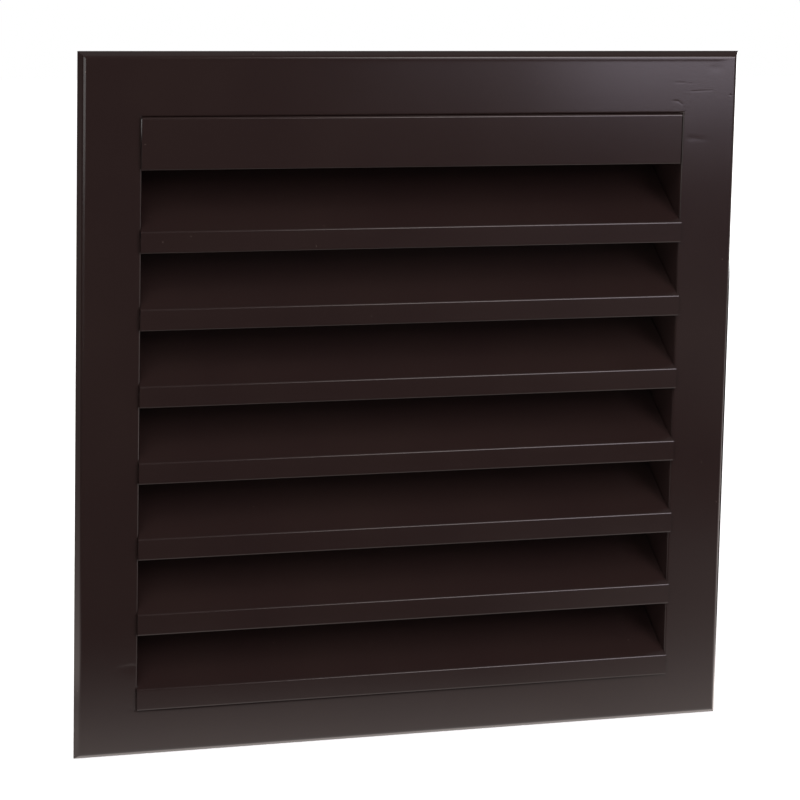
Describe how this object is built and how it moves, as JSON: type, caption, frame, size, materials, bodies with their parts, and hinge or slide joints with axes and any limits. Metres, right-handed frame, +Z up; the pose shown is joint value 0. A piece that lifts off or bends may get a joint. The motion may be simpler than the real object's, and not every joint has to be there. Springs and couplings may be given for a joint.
{
  "type": "louvred vent grille",
  "caption": "Square wall vent grille of folded brown coated sheet steel, with fixed sloping louvres, a blank head strip, a wide flat frame and a collar behind it.",
  "frame": {"origin": "centre of the frame's outline, in the plane of the wall that its outer edges touch", "axes": "+X to the right seen from the front, +Y into the wall, +Z up; the louvred face looks along -Y"},
  "size_m": [0.3, 0.0449, 0.3],
  "materials": {
    "coated_steel": "satin chocolate-brown powder coat"
  },
  "bodies": {
    "root": {"front_frame": "coated_steel", "head_strip": "coated_steel", "louvre_blade_1": "coated_steel", "louvre_blade_2": "coated_steel", "louvre_blade_3": "coated_steel", "louvre_blade_4": "coated_steel", "louvre_blade_5": "coated_steel", "louvre_blade_6": "coated_steel", "louvre_blade_7": "coated_steel"}
  },
  "joints": []
}
